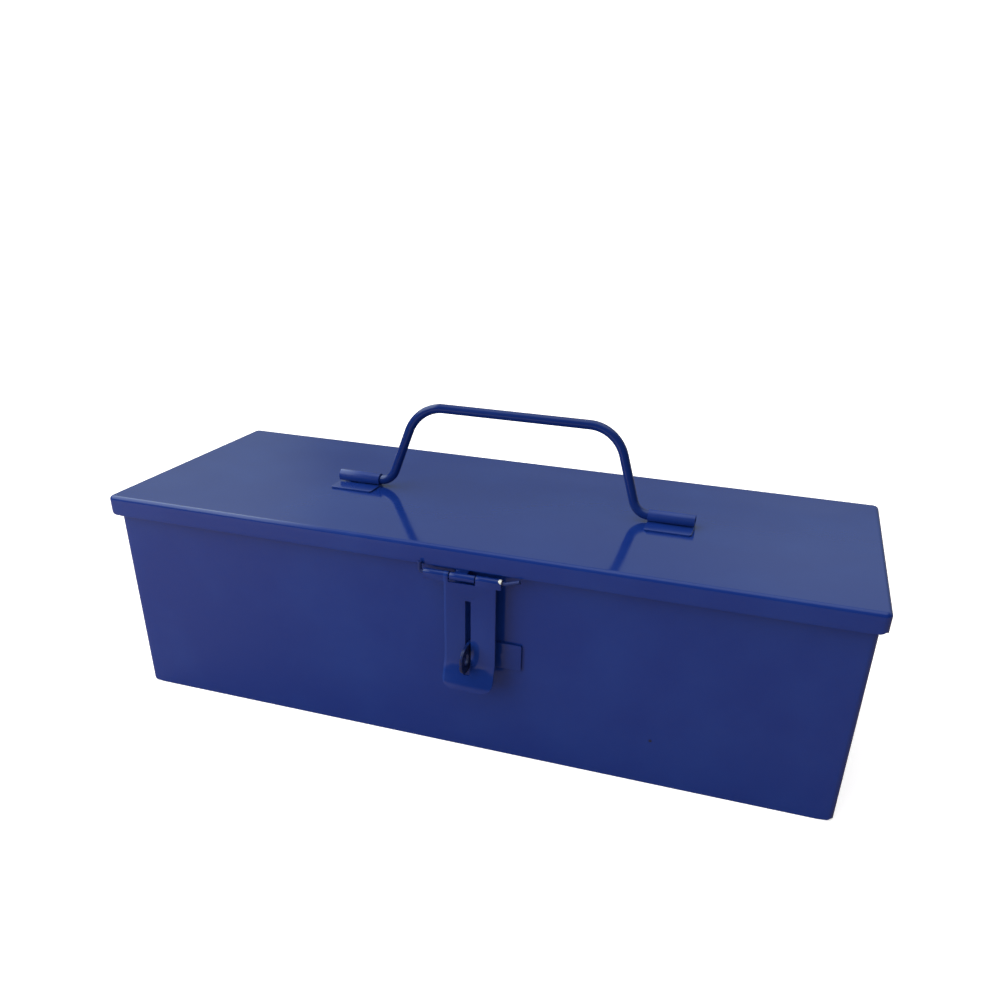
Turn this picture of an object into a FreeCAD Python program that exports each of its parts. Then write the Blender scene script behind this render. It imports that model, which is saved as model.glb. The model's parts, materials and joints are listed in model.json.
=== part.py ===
"""Steel toolbox with an overlapping lid, a swing handle, a hasp and staple, and two rear hinges.

X runs along the box, the front faces -Y and Z is up. The origin is the centre of the underside.
"""
import FreeCAD
import Part
import math
import os
import Sketcher

# Sizes in millimetres and degrees, each written once
SIZES = [
    ("lid_length", 400.0, "length over the side lips of the lid"),
    ("lid_depth", 146.0, "depth over the front and rear lips of the lid"),
    ("lid_top", 117.0, "height of the lid's top face above the underside"),
    ("lip_height", 10.6, "height of the lip round the lid"),
    ("overhang", 4.2, "lid's outer face beyond the wall's outer face, at the front and rear"),
    ("end_overhang", 3.2, "lid's outer face beyond the wall's outer face, at both ends"),
    ("wall_sheet", 0.8, "sheet of the walls, the floor and the lid"),
    ("rim_gap", 0.2, "air between the walls' rim and the closed lid"),
    ("wall_corner", 3.0, "outer radius of the walls' upright corners"),
    ("lid_corner", 3.5, "outer radius of the lid's corners in plan"),
    ("lid_bend", 2.2, "outer radius of the bend from lid top to lip"),
    ("floor_flange", 12.0, "height of the floor pan's flange"),
    ("floor_bend", 1.0, "floor pan's bend, drawn as a chamfer"),
    ("rim_fold", 9.0, "depth of the fold inside the walls' rim"),
    ("rim_round", 0.5, "roundness of the fold's two top edges, drawn as a chamfer"),
    ("seam_lap", 12.0, "width of the lapped seam inside the rear wall"),
    ("seam_air", 0.3, "air between the lapped seam and the floor pan's flange"),
    ("rod_radius", 2.5, "handle rod"),
    ("rod_play", 0.08, "radial play of the rod in its clips"),
    ("clip_sheet", 0.9, "sheet of the handle clips"),
    ("clip_length", 24.5, "length of a clip along the rod"),
    ("clip_foot", 14.0, "foot in front of the rod's axis"),
    ("clip_turn", 308.0, "angle that the clip's strip wraps round the rod"),
    ("clip_corner", 1.5, "rounded corners of the foot"),
    ("clip_spacing", 178.0, "between the middles of the clips"),
    ("handle_shift", 5.0, "handle's middle to the right of the lid's middle"),
    ("handle_forward", 2.0, "rod's axis in front of the lid's middle"),
    ("handle_lean", 9.3, "backward lean of the handle at rest, in degrees"),
    ("handle_height", 42.8, "from the axis in the clips to the grip's axis"),
    ("grip_span", 111.4, "between the sharp upper corners of the rod's axis"),
    ("heel_span", 140.2, "between the sharp lower corners of the rod's axis"),
    ("rod_span", 191.0, "between the rod's ends, inside the clips"),
    ("grip_bend", 20.6, "bend radius at the upper corners, on the axis"),
    ("heel_bend", 9.5, "bend radius at the lower corners, on the axis"),
    ("leaf_sheet", 1.0, "sheet of the hinge and hasp leaves"),
    ("leaf_bend", 0.4, "inner bend radius of the lid leaves"),
    ("wire_radius", 1.0, "hinge and hasp pins"),
    ("wire_play", 0.05, "radial play of a pin in its knuckles"),
    ("knuckle_length", 13.0, "length of one knuckle"),
    ("knuckle_gap", 0.6, "gap between two knuckles"),
    ("knuckle_turn", 292.0, "angle that a knuckle's strip wraps round its pin"),
    ("barrel_drop", 3.2, "pin's axis below the lip's lower edge"),
    ("barrel_out", 1.6, "pin's axis beyond the lip's outer face"),
    ("leaf_width", 22.0, "width of a lid leaf's plate inside the lip"),
    ("leaf_rise", 11.2, "top of a lid leaf's plate above the pin's axis"),
    ("leaf_shoulder", 3.8, "bottom of a lid leaf's plate above the pin's axis"),
    ("hinge_share", 0.6, "spacing of the rear hinges as a share of the lid's length"),
    ("hinge_pin_length", 42.0, "length of a rear hinge's pin"),
    ("hinge_drop", 3.4, "straight part of a wall leaf below its pin's axis"),
    ("hinge_crank", 8.0, "end of the wall leaf's crank below its pin's axis"),
    ("hinge_reach", 22.0, "lower edge of a wall leaf below its pin's axis"),
    ("hinge_corner", 3.0, "rounded lower corners of a wall leaf"),
    ("notch_drop", 2.6, "lower edge of the notch for the middle knuckle, below the axis"),
    ("hasp_shift", 5.5, "middle of the hasp's barrel to the right of the lid's middle"),
    ("hasp_neck", 6.5, "width of the hasp's neck under the lip"),
    ("neck_shift", -1.2, "middle of the neck from the middle of the barrel"),
    ("head_drop", 2.9, "lower edge of the strap's head below the pin's axis"),
    ("strap_width", 27.0, "width of the strap below its head"),
    ("strap_shift", 4.2, "middle of the strap from the middle of the barrel"),
    ("strap_bend", 45.3, "crease of the strap's lip below the pin's axis"),
    ("strap_lip", 15.5, "length of the strap's bent lip"),
    ("lip_angle", 20.0, "lip's slope away from the upright"),
    ("strap_corner", 6.0, "rounded lower corners of the strap"),
    ("strap_edge", 0.3, "rounding along the shank's front edges"),
    ("slot_width", 2.9, "strap's slot"),
    ("slot_shift", 3.4, "middle of the slot from the middle of the barrel"),
    ("slot_top", 11.4, "upper end of the slot below the pin's axis"),
    ("slot_end", 52.2, "lower end of the slot below the pin's axis"),
    ("stub_out", 22.5, "bent-up end of the hasp's pin, left of the barrel's middle"),
    ("stub_rise", 5.2, "top of the bent-up end above the pin's axis"),
    ("stub_bend", 1.6, "bend radius of that end"),
    ("tail_start", 22.3, "bend of the pin's tail, right of the barrel's middle"),
    ("tail_out", 29.0, "tip of the pin's tail, right of the barrel's middle"),
    ("tail_rise", 2.2, "tip of the pin's tail above the axis"),
    ("tail_bend", 4.0, "bend radius of the tail"),
    ("staple_sheet", 1.5, "sheet of the staple bracket"),
    ("staple_height", 14.4, "height of the bracket"),
    ("staple_base", 26.8, "length of its base along the wall"),
    ("staple_reach", 18.5, "tip of its lug beyond the wall"),
    ("staple_level", 61.0, "middle of the bracket above the underside"),
    ("staple_bend", 1.8, "outer bend radius of the bracket"),
    ("staple_inner", 0.3, "inner bend radius of the bracket"),
    ("staple_round", 7.1, "rounding of the lug's end"),
    ("staple_corner", 1.0, "rounded corners of the base"),
    ("padlock_radius", 3.0, "padlock hole"),
]

# Points closer than this are the same point
NEAR = 0.01

document = FreeCAD.newDocument("toolbox")
sheet = document.addObject("Spreadsheet::Sheet", "sizes")


class Size:
    """A length, angle or ratio that knows its number and the sheet expression it comes from."""

    def __init__(self, number, text):
        self.number = number
        self.text = text

    def __add__(self, other):
        return Size(self.number + number_of(other), "(%s + %s)" % (self.text, text_of(other)))

    def __sub__(self, other):
        return Size(self.number - number_of(other), "(%s - %s)" % (self.text, text_of(other)))

    def __mul__(self, other):
        return Size(self.number * number_of(other), "(%s * %s)" % (self.text, text_of(other)))

    def __rmul__(self, other):
        return self * other

    def __truediv__(self, other):
        return Size(self.number / number_of(other), "(%s / %s)" % (self.text, text_of(other)))

    def __neg__(self):
        return Size(-self.number, "(-%s)" % self.text)


def number_of(value):
    """The plain number of a Size or of a number."""
    return value.number if isinstance(value, Size) else float(value)


def text_of(value):
    """The expression text of a Size or of a number."""
    return value.text if isinstance(value, Size) else repr(value)


def sine(angle):
    """Sine of an angle in degrees."""
    return Size(math.sin(math.radians(angle.number)), "sin(%s)" % angle.text)


def cosine(angle):
    """Cosine of an angle in degrees."""
    return Size(math.cos(math.radians(angle.number)), "cos(%s)" % angle.text)


def tangent(angle):
    """Tangent of an angle in degrees."""
    return Size(math.tan(math.radians(angle.number)), "tan(%s)" % angle.text)


def bind(target, path, size):
    """Tie one property of an object to the sheet."""
    target.setExpression(path, size.text)


class Sizes:
    """The sheet's cells as attributes."""


def fill_sheet():
    """Write the sizes into the sheet and return them as Size values."""
    sizes = Sizes()
    for row, (alias, number, note) in enumerate(SIZES, start=1):
        sheet.set("A%d" % row, alias)
        sheet.set("B%d" % row, str(number))
        sheet.set("C%d" % row, note)
        sheet.setAlias("B%d" % row, alias)
        setattr(sizes, alias, Size(number, "sizes.%s" % alias))
    document.recompute()
    return sizes


s = fill_sheet()
ZERO = Size(0.0, "0")

# Sizes that follow from the sheet
WALL_LENGTH = s.lid_length - 2 * s.end_overhang
WALL_DEPTH = s.lid_depth - 2 * s.overhang
RIM_HEIGHT = s.lid_top - s.wall_sheet - s.rim_gap
KNUCKLE_INNER = s.wire_radius + s.wire_play
KNUCKLE_OUTER = KNUCKLE_INNER + s.leaf_sheet
BARREL_LENGTH = 3 * s.knuckle_length + 2 * s.knuckle_gap
NOTCH_WIDTH = s.knuckle_length + 2 * s.knuckle_gap
BARREL_LEVEL = s.lid_top - s.lip_height - s.barrel_drop
BARREL_DISTANCE = s.lid_depth / 2 + s.barrel_out
CLIP_INNER = s.rod_radius + s.rod_play
CLIP_OUTER = CLIP_INNER + s.clip_sheet
ROD_LEVEL = s.lid_top + CLIP_OUTER
WALL_FACE = WALL_DEPTH / 2
HINGE_SPACING = s.lid_length * s.hinge_share
LUG_SHIFT = s.hasp_shift + s.slot_shift - s.staple_sheet / 2


def new_body(name):
    """An empty sub-part with its own label."""
    body = document.addObject("PartDesign::Body", name)
    body.Label = name
    return body


def place(body, east, north, up, half_turn=False, lean=None):
    """Stand a sub-part at its place, turned half round for the rear or leaning backwards."""
    if lean is None:
        angle = 180.0 if half_turn else 0.0
        turn = FreeCAD.Rotation(FreeCAD.Vector(0, 0, 1), angle)
    else:
        turn = FreeCAD.Rotation(FreeCAD.Vector(-1, 0, 0), lean.number)
    body.Placement = FreeCAD.Placement(FreeCAD.Vector(east.number, north.number, up.number), turn)
    if lean is not None:
        bind(body, "Placement.Rotation.Angle", lean)
    bind(body, "Placement.Base.x", east)
    bind(body, "Placement.Base.y", north)
    bind(body, "Placement.Base.z", up)


def new_sketch(body, name, role, lift=None):
    """A sketch on one of the sub-part's own planes, lifted along the plane's normal."""
    sketch = body.newObject("Sketcher::SketchObject", name)
    planes = [item for item in body.Origin.OriginFeatures if item.Role == role]
    sketch.AttachmentSupport = [(planes[0], "")]
    sketch.MapMode = "FlatFace"
    if lift is not None:
        bind(sketch, "AttachmentOffset.Base.z", lift)
    return sketch


def add_bound(sketch, constraint, size):
    """Add a constraint whose value comes from the sheet."""
    index = sketch.addConstraint(constraint)
    bind(sketch, "Constraints[%d]" % index, size)


def pin_coordinate(sketch, kind, axis, item, end, size):
    """Hold one coordinate of a point: on the axis, or at a signed distance from it."""
    if abs(size.number) < NEAR:
        sketch.addConstraint(Sketcher.Constraint("PointOnObject", item, end, axis))
    elif size.number > 0:
        add_bound(sketch, Sketcher.Constraint(kind, -1, 1, item, end, size.number), size)
    else:
        add_bound(sketch, Sketcher.Constraint(kind, item, end, -1, 1, -size.number), -size)


def pin_point(sketch, item, end, across, along):
    """Hold both coordinates of a point of the sketch."""
    pin_coordinate(sketch, "DistanceX", -2, item, end, across)
    pin_coordinate(sketch, "DistanceY", -1, item, end, along)


def flat(point):
    """A sketch point's numbers as a vector."""
    return FreeCAD.Vector(point[0].number, point[1].number, 0)


def add_line(sketch, start, end):
    """Add a straight line between two vectors."""
    return sketch.addGeometry(Part.LineSegment(start, end), False)


def bend_ends(before, corner, after, radius):
    """Where a rounded corner leaves its two straight sides, and the centre of its arc."""
    back = (before - corner).normalize()
    ahead = (after - corner).normalize()
    half = back.getAngle(ahead) / 2
    reach = radius / math.tan(half)
    middle = (back + ahead).normalize() * (radius / math.sin(half))
    return corner + back * reach, corner + ahead * reach, corner + middle


def add_arc(sketch, start, end, centre, radius):
    """Add the short arc between two points and tell which of its ends is the start."""
    first = math.atan2(start.y - centre.y, start.x - centre.x)
    last = math.atan2(end.y - centre.y, end.x - centre.x)
    swapped = math.sin(last - first) < 0
    if swapped:
        first, last = last, first
    circle = Part.Circle(centre, FreeCAD.Vector(0, 0, 1), radius)
    arc = sketch.addGeometry(Part.ArcOfCircle(circle, first, last), False)
    return arc, (2, 1) if swapped else (1, 2)


def draw_path(sketch, corners, closed):
    """Draw straight sides through the corners, each (across, along, radius or None)."""
    count = len(corners)
    vectors = [flat(corner) for corner in corners]
    starts = list(vectors)
    ends = list(vectors)
    arcs = {}
    for index in range(count):
        radius = corners[index][2]
        if radius is None:
            continue
        ends[index], starts[index], centre = bend_ends(
            vectors[index - 1], vectors[index], vectors[(index + 1) % count], radius.number)
        arcs[index] = add_arc(sketch, ends[index], starts[index], centre, radius.number)
        add_bound(sketch, Sketcher.Constraint("Radius", arcs[index][0], radius.number), radius)
    sides = count if closed else count - 1
    lines = [add_line(sketch, starts[i], ends[(i + 1) % count]) for i in range(sides)]
    for index in range(count):
        leaving = lines[index] if index < sides else None
        arriving = lines[index - 1] if closed or index > 0 else None
        across, along, radius = corners[index]
        if radius is None:
            item, end = (leaving, 1) if leaving is not None else (arriving, 2)
            pin_point(sketch, item, end, across, along)
            if leaving is not None and arriving is not None:
                sketch.addConstraint(Sketcher.Constraint("Coincident", arriving, 2, leaving, 1))
            continue
        mark = sketch.addGeometry(Part.Point(vectors[index]), True)
        pin_point(sketch, mark, 1, across, along)
        arc, (first, last) = arcs[index]
        sketch.addConstraint(Sketcher.Constraint("Tangent", arriving, 2, arc, first))
        sketch.addConstraint(Sketcher.Constraint("Tangent", leaving, 1, arc, last))
        sketch.addConstraint(Sketcher.Constraint("PointOnObject", mark, 1, arriving))
        sketch.addConstraint(Sketcher.Constraint("PointOnObject", mark, 1, leaving))


def draw_rectangle(sketch, low, high, radius=None):
    """Draw a rectangle between two corners, its own corners sharp or rounded."""
    draw_path(sketch, [
        (low[0], low[1], radius),
        (high[0], low[1], radius),
        (high[0], high[1], radius),
        (low[0], high[1], radius),
    ], closed=True)


def draw_plan(sketch, length, depth, radius, inset):
    """Draw a rounded rectangle about the origin, drawn in by an inset."""
    half_length = length / 2 - inset
    half_depth = depth / 2 - inset
    draw_rectangle(sketch, (-half_length, -half_depth), (half_length, half_depth), radius - inset)


def draw_circle(sketch, across, along, radius):
    """Draw a circle about a point."""
    centre = FreeCAD.Vector(across.number, along.number, 0)
    circle = sketch.addGeometry(Part.Circle(centre, FreeCAD.Vector(0, 0, 1), radius.number), False)
    pin_point(sketch, circle, 3, across, along)
    add_bound(sketch, Sketcher.Constraint("Radius", circle, radius.number), radius)


def draw_roll(sketch, inner, outer, start, turn, tail):
    """Draw a strip rolled about the origin, with a flat tail.

    The roll starts at the angle start, a multiple of 90 degrees, and winds by the signed angle
    turn. The tail's corners lead from the outer face at the start back to the inner face.
    """
    axis = -1 if start % 180 == 0 else -2
    begin = math.radians(start)
    finish = begin + math.radians(turn.number)
    low, high = sorted((begin, finish))
    first, last = (1, 2) if turn.number > 0 else (2, 1)
    arcs = []
    for radius in (outer, inner):
        circle = Part.Circle(FreeCAD.Vector(0, 0, 0), FreeCAD.Vector(0, 0, 1), radius.number)
        arc = sketch.addGeometry(Part.ArcOfCircle(circle, low, high), False)
        sketch.addConstraint(Sketcher.Constraint("Coincident", arc, 3, -1, 1))
        sketch.addConstraint(Sketcher.Constraint("PointOnObject", arc, first, axis))
        add_bound(sketch, Sketcher.Constraint("Radius", arc, radius.number), radius)
        arcs.append(arc)
    aim = FreeCAD.Vector(math.cos(finish), math.sin(finish), 0)
    cap = add_line(sketch, aim * inner.number, aim * outer.number)
    sketch.addConstraint(Sketcher.Constraint("Coincident", cap, 1, arcs[1], last))
    sketch.addConstraint(Sketcher.Constraint("Coincident", cap, 2, arcs[0], last))
    sketch.addConstraint(Sketcher.Constraint("PointOnObject", -1, 1, cap))
    heading = Size(start, repr(start)) + turn
    add_bound(sketch, Sketcher.Constraint("Angle", cap, math.radians(heading.number)), heading)
    root = FreeCAD.Vector(math.cos(begin), math.sin(begin), 0)
    points = [root * outer.number] + [flat(corner) for corner in tail] + [root * inner.number]
    lines = [add_line(sketch, points[i], points[i + 1]) for i in range(len(points) - 1)]
    sketch.addConstraint(Sketcher.Constraint("Coincident", lines[0], 1, arcs[0], first))
    sketch.addConstraint(Sketcher.Constraint("Coincident", lines[-1], 2, arcs[1], first))
    for index, corner in enumerate(tail):
        pin_point(sketch, lines[index], 2, corner[0], corner[1])
        sketch.addConstraint(
            Sketcher.Constraint("Coincident", lines[index], 2, lines[index + 1], 1))


def pad(body, sketch, length, symmetric=False):
    """Raise a solid from a sketch."""
    feature = body.newObject("PartDesign::Pad", sketch.Name + "_pad")
    feature.Profile = sketch
    feature.SideType = "Symmetric" if symmetric else "One side"
    bind(feature, "Length", length)
    document.recompute()
    return feature


def cut_through(body, sketch):
    """Cut a sketch right through the solid, both ways, and make sure that it cuts."""
    before = body.Shape.Volume
    feature = body.newObject("PartDesign::Pocket", sketch.Name + "_cut")
    feature.Profile = sketch
    feature.SideType = "Two sides"
    feature.Type = "ThroughAll"
    feature.Type2 = "ThroughAll"
    document.recompute()
    if feature.Shape.Volume >= before:
        raise RuntimeError("%s cuts nothing" % feature.Name)
    return feature


def edges_where(feature, chosen):
    """Names of the edges that a test chooses."""
    edges = enumerate(feature.Shape.Edges, start=1)
    return ["Edge%d" % number for number, edge in edges if chosen(edge)]


def at_height(edge, height):
    """Whether an edge lies level at a height."""
    box = edge.BoundBox
    return abs(box.ZMin - height) < NEAR and abs(box.ZMax - height) < NEAR


def soften(body, kind, feature, chosen, size):
    """Fillet or chamfer the chosen edges of a feature."""
    names = edges_where(feature, chosen)
    if not names:
        raise RuntimeError("no edges to soften on %s" % feature.Name)
    result = body.newObject("PartDesign::" + kind, body.Name + "_" + feature.Name + "_soft")
    result.Base = (feature, names)
    bind(result, "Radius" if kind == "Fillet" else "Size", size)
    document.recompute()
    return result


def hollow(body, feature, height, thickness):
    """Hollow a solid inwards, open at the flat face at a height."""
    before = feature.Shape.Volume
    faces = enumerate(feature.Shape.Faces, start=1)
    open_faces = ["Face%d" % n for n, face in faces if at_height(face, height)]
    result = body.newObject("PartDesign::Thickness", body.Name + "_hollow")
    result.Base = (feature, open_faces)
    result.Reversed = True
    bind(result, "Value", thickness)
    document.recompute()
    if result.Shape.Volume >= before:
        raise RuntimeError("%s isn't hollow" % body.Name)
    return result


def sweep(body, path, profile):
    """Sweep a profile along a path."""
    feature = body.newObject("PartDesign::AdditivePipe", body.Name + "_sweep")
    feature.Profile = profile
    feature.Spine = (path, ["Edge%d" % (i + 1) for i in range(len(path.Shape.Edges))])
    document.recompute()
    return feature


def build_walls():
    """One strip bent round four corners, its rim folded inwards and its ends lapped at the rear."""
    body = new_body("body_wall")
    plan = new_sketch(body, "wall_plan", "XY_Plane")
    draw_plan(plan, WALL_LENGTH, WALL_DEPTH, s.wall_corner, ZERO)
    draw_plan(plan, WALL_LENGTH, WALL_DEPTH, s.wall_corner, s.wall_sheet)
    pad(body, plan, RIM_HEIGHT)
    seam = new_sketch(body, "wall_seam", "XY_Plane", s.floor_flange + s.seam_air)
    lap_face = WALL_FACE - s.wall_sheet
    draw_rectangle(seam, (-s.seam_lap / 2, lap_face - s.wall_sheet), (s.seam_lap / 2, lap_face))
    pad(body, seam, RIM_HEIGHT - s.floor_flange - s.seam_air - s.rim_fold)
    fold = new_sketch(body, "wall_fold", "XY_Plane", RIM_HEIGHT - s.rim_fold)
    draw_plan(fold, WALL_LENGTH, WALL_DEPTH, s.wall_corner, s.wall_sheet)
    draw_plan(fold, WALL_LENGTH, WALL_DEPTH, s.wall_corner, 2 * s.wall_sheet)
    folded = pad(body, fold, s.rim_fold)
    soften(body, "Chamfer", folded, lambda edge: at_height(edge, RIM_HEIGHT.number), s.rim_round)
    return body


def build_floor():
    """A shallow pan whose flange stands inside the foot of the walls."""
    body = new_body("body_floor")
    plan = new_sketch(body, "floor_plan", "XY_Plane")
    draw_plan(plan, WALL_LENGTH, WALL_DEPTH, s.wall_corner, s.wall_sheet)
    block = pad(body, plan, s.floor_flange)
    bent = soften(body, "Chamfer", block, lambda edge: at_height(edge, 0), s.floor_bend)
    hollow(body, bent, s.floor_flange.number, s.wall_sheet)
    return body


def build_lid():
    """A shallow pan, upside down, with a lip all round."""
    body = new_body("lid_pan")
    lip_edge = s.lid_top - s.lip_height
    plan = new_sketch(body, "lid_plan", "XY_Plane", lip_edge)
    draw_plan(plan, s.lid_length, s.lid_depth, s.lid_corner, ZERO)
    block = pad(body, plan, s.lip_height)
    bent = soften(body, "Fillet", block, lambda edge: at_height(edge, s.lid_top.number), s.lid_bend)
    hollow(body, bent, lip_edge.number, s.wall_sheet)
    return body


def build_clip(name, side):
    """A strip rolled round the rod, with a flat foot in front of it on the lid."""
    body = new_body(name)
    profile = new_sketch(body, name + "_profile", "YZ_Plane")
    tail = [(-s.clip_foot, -CLIP_OUTER), (-s.clip_foot, -CLIP_INNER)]
    draw_roll(profile, CLIP_INNER, CLIP_OUTER, -90, s.clip_turn, tail)
    strip = pad(body, profile, s.clip_length, symmetric=True)

    def foot_corner(edge):
        box = edge.BoundBox
        upright = abs(box.ZLength - s.clip_sheet.number) < NEAR
        return upright and abs(box.YMax + s.clip_foot.number) < NEAR

    soften(body, "Fillet", strip, foot_corner, s.clip_corner)
    place(body, s.handle_shift + s.clip_spacing * side / 2, -s.handle_forward, ROD_LEVEL)
    return body


def build_handle():
    """Round rod: a level grip, two splayed legs and two ends that turn outwards into the clips."""
    body = new_body("carry_handle")
    path = new_sketch(body, "handle_path", "XZ_Plane")
    draw_path(path, [
        (-s.rod_span / 2, ZERO, None),
        (-s.heel_span / 2, ZERO, s.heel_bend),
        (-s.grip_span / 2, s.handle_height, s.grip_bend),
        (s.grip_span / 2, s.handle_height, s.grip_bend),
        (s.heel_span / 2, ZERO, s.heel_bend),
        (s.rod_span / 2, ZERO, None),
    ], closed=False)
    section = new_sketch(body, "handle_section", "YZ_Plane", -s.rod_span / 2)
    draw_circle(section, ZERO, ZERO, s.rod_radius)
    document.recompute()
    sweep(body, path, section)
    place(body, s.handle_shift, -s.handle_forward, ROD_LEVEL, lean=s.handle_lean)
    return body


def build_lid_leaf(name, neck_width, neck_shift):
    """Plate inside the lip, a neck bent out under the lip's edge, and the middle knuckle."""
    body = new_body(name)
    roll = new_sketch(body, name + "_roll", "YZ_Plane")
    draw_roll(roll, KNUCKLE_INNER, KNUCKLE_OUTER, 90, s.knuckle_turn, [])
    pad(body, roll, s.knuckle_length, symmetric=True)
    near_face = s.barrel_out + s.wall_sheet
    far_face = near_face + s.leaf_sheet
    neck = new_sketch(body, name + "_neck", "YZ_Plane", neck_shift)
    draw_path(neck, [
        (ZERO, KNUCKLE_INNER, None),
        (far_face, KNUCKLE_INNER, s.leaf_bend + s.leaf_sheet),
        (far_face, s.leaf_rise, None),
        (near_face, s.leaf_rise, None),
        (near_face, KNUCKLE_OUTER, s.leaf_bend),
        (ZERO, KNUCKLE_OUTER, None),
    ], closed=True)
    pad(body, neck, neck_width, symmetric=True)
    plate = new_sketch(body, name + "_plate", "YZ_Plane")
    draw_rectangle(plate, (near_face, s.leaf_shoulder), (far_face, s.leaf_rise))
    pad(body, plate, s.leaf_width, symmetric=True)
    return body


def cut_notch(body, name):
    """Notch for the middle knuckle, between two outer knuckles."""
    notch = new_sketch(body, name + "_notch", "XZ_Plane")
    draw_rectangle(notch, (-NOTCH_WIDTH / 2, -s.notch_drop), (NOTCH_WIDTH / 2, s.knuckle_length))
    return cut_through(body, notch)


def build_wall_leaf(name):
    """Two outer knuckles and a plate cranked inwards to lie on the rear wall."""
    body = new_body(name)
    outer_face = KNUCKLE_INNER
    inner_face = KNUCKLE_OUTER
    wall_side = s.barrel_out + s.overhang
    lean = (wall_side - inner_face) / (s.hinge_crank - s.hinge_drop)
    offset = s.leaf_sheet * lean / 2
    profile = new_sketch(body, name + "_profile", "YZ_Plane")
    draw_roll(profile, KNUCKLE_INNER, KNUCKLE_OUTER, 0, s.knuckle_turn, [
        (inner_face, -(s.hinge_drop - offset)),
        (wall_side, -(s.hinge_crank - offset)),
        (wall_side, -s.hinge_reach),
        (wall_side - s.leaf_sheet, -s.hinge_reach),
        (wall_side - s.leaf_sheet, -(s.hinge_crank + offset)),
        (outer_face, -(s.hinge_drop + offset)),
    ])
    pad(body, profile, BARREL_LENGTH, symmetric=True)
    notched = cut_notch(body, name)

    def lower_corner(edge):
        box = edge.BoundBox
        across = abs(box.YLength - s.leaf_sheet.number) < NEAR
        return across and abs(box.ZMax + s.hinge_reach.number) < NEAR

    soften(body, "Fillet", notched, lower_corner, s.hinge_corner)
    return body


def build_hinge(side_name, side):
    """One rear hinge: a leaf in the lid's lip, a leaf on the rear wall and a straight pin."""
    lid_leaf = build_lid_leaf("hinge_%s_lid_leaf" % side_name, s.knuckle_length, ZERO)
    wall_leaf = build_wall_leaf("hinge_%s_body_leaf" % side_name)
    pin = new_body("hinge_%s_pin" % side_name)
    section = new_sketch(pin, pin.Name + "_section", "YZ_Plane")
    draw_circle(section, ZERO, ZERO, s.wire_radius)
    pad(pin, section, s.hinge_pin_length, symmetric=True)
    for body in (lid_leaf, wall_leaf, pin):
        place(body, HINGE_SPACING * side / 2, BARREL_DISTANCE, BARREL_LEVEL, half_turn=True)
    return [lid_leaf, wall_leaf, pin]


def build_strap():
    """Hasp strap: two knuckles on a wide head, a slotted shank and a lip bent outwards."""
    body = new_body("hasp_strap")
    head = new_sketch(body, "strap_head", "YZ_Plane")
    draw_roll(head, KNUCKLE_INNER, KNUCKLE_OUTER, 180, -s.knuckle_turn, [
        (-KNUCKLE_OUTER, -s.head_drop),
        (-KNUCKLE_INNER, -s.head_drop),
    ])
    pad(body, head, BARREL_LENGTH, symmetric=True)
    shank = new_sketch(body, "strap_shank", "YZ_Plane", s.strap_shift)
    lip_out = s.strap_lip * sine(s.lip_angle)
    lip_down = s.strap_bend + s.strap_lip * cosine(s.lip_angle)
    draw_path(shank, [
        (-KNUCKLE_OUTER, ZERO, None),
        (-KNUCKLE_OUTER, -s.strap_bend, None),
        (-KNUCKLE_OUTER - lip_out, -lip_down, None),
        (s.leaf_sheet * cosine(s.lip_angle) - KNUCKLE_OUTER - lip_out,
         -lip_down - s.leaf_sheet * sine(s.lip_angle), None),
        (-KNUCKLE_INNER, -s.strap_bend - s.leaf_sheet * tangent(s.lip_angle / 2), None),
        (-KNUCKLE_INNER, ZERO, None),
    ], closed=True)
    pad(body, shank, s.strap_width, symmetric=True)
    cut_notch(body, "strap")
    slot = new_sketch(body, "strap_slot", "XZ_Plane")
    slot_left = s.slot_shift - s.slot_width / 2
    draw_rectangle(slot, (slot_left, -s.slot_end), (slot_left + s.slot_width, -s.slot_top))
    slotted = cut_through(body, slot)
    tip = -lip_down.number

    def lip_corner(edge):
        box = edge.BoundBox
        return box.XLength < NEAR and box.ZMax < tip + NEAR

    rounded = soften(body, "Fillet", slotted, lip_corner, s.strap_corner)
    front = -KNUCKLE_OUTER.number
    half_width = s.strap_width.number / 2

    def shank_edge(edge):
        box = edge.BoundBox
        on_front = abs(box.YMin - front) < NEAR and abs(box.YMax - front) < NEAR
        at_side = abs(abs(box.Center.x - s.strap_shift.number) - half_width) < NEAR
        return on_front and at_side and box.XLength < NEAR

    soften(body, "Fillet", rounded, shank_edge, s.strap_edge)
    place(body, s.hasp_shift, -BARREL_DISTANCE, BARREL_LEVEL)
    return body


def build_hasp_pin():
    """Wire through the hasp's knuckles, bent up at the left and its tail turned up at the right."""
    body = new_body("hasp_pin")
    path = new_sketch(body, "pin_path", "XZ_Plane")
    draw_path(path, [
        (-s.stub_out, s.stub_rise, None),
        (-s.stub_out, ZERO, s.stub_bend),
        (s.tail_start, ZERO, s.tail_bend),
        (s.tail_out, s.tail_rise, None),
    ], closed=False)
    section = new_sketch(body, "pin_section", "XY_Plane", s.stub_rise)
    draw_circle(section, -s.stub_out, ZERO, s.wire_radius)
    document.recompute()
    sweep(body, path, section)
    place(body, s.hasp_shift, -BARREL_DISTANCE, BARREL_LEVEL)
    return body


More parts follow.
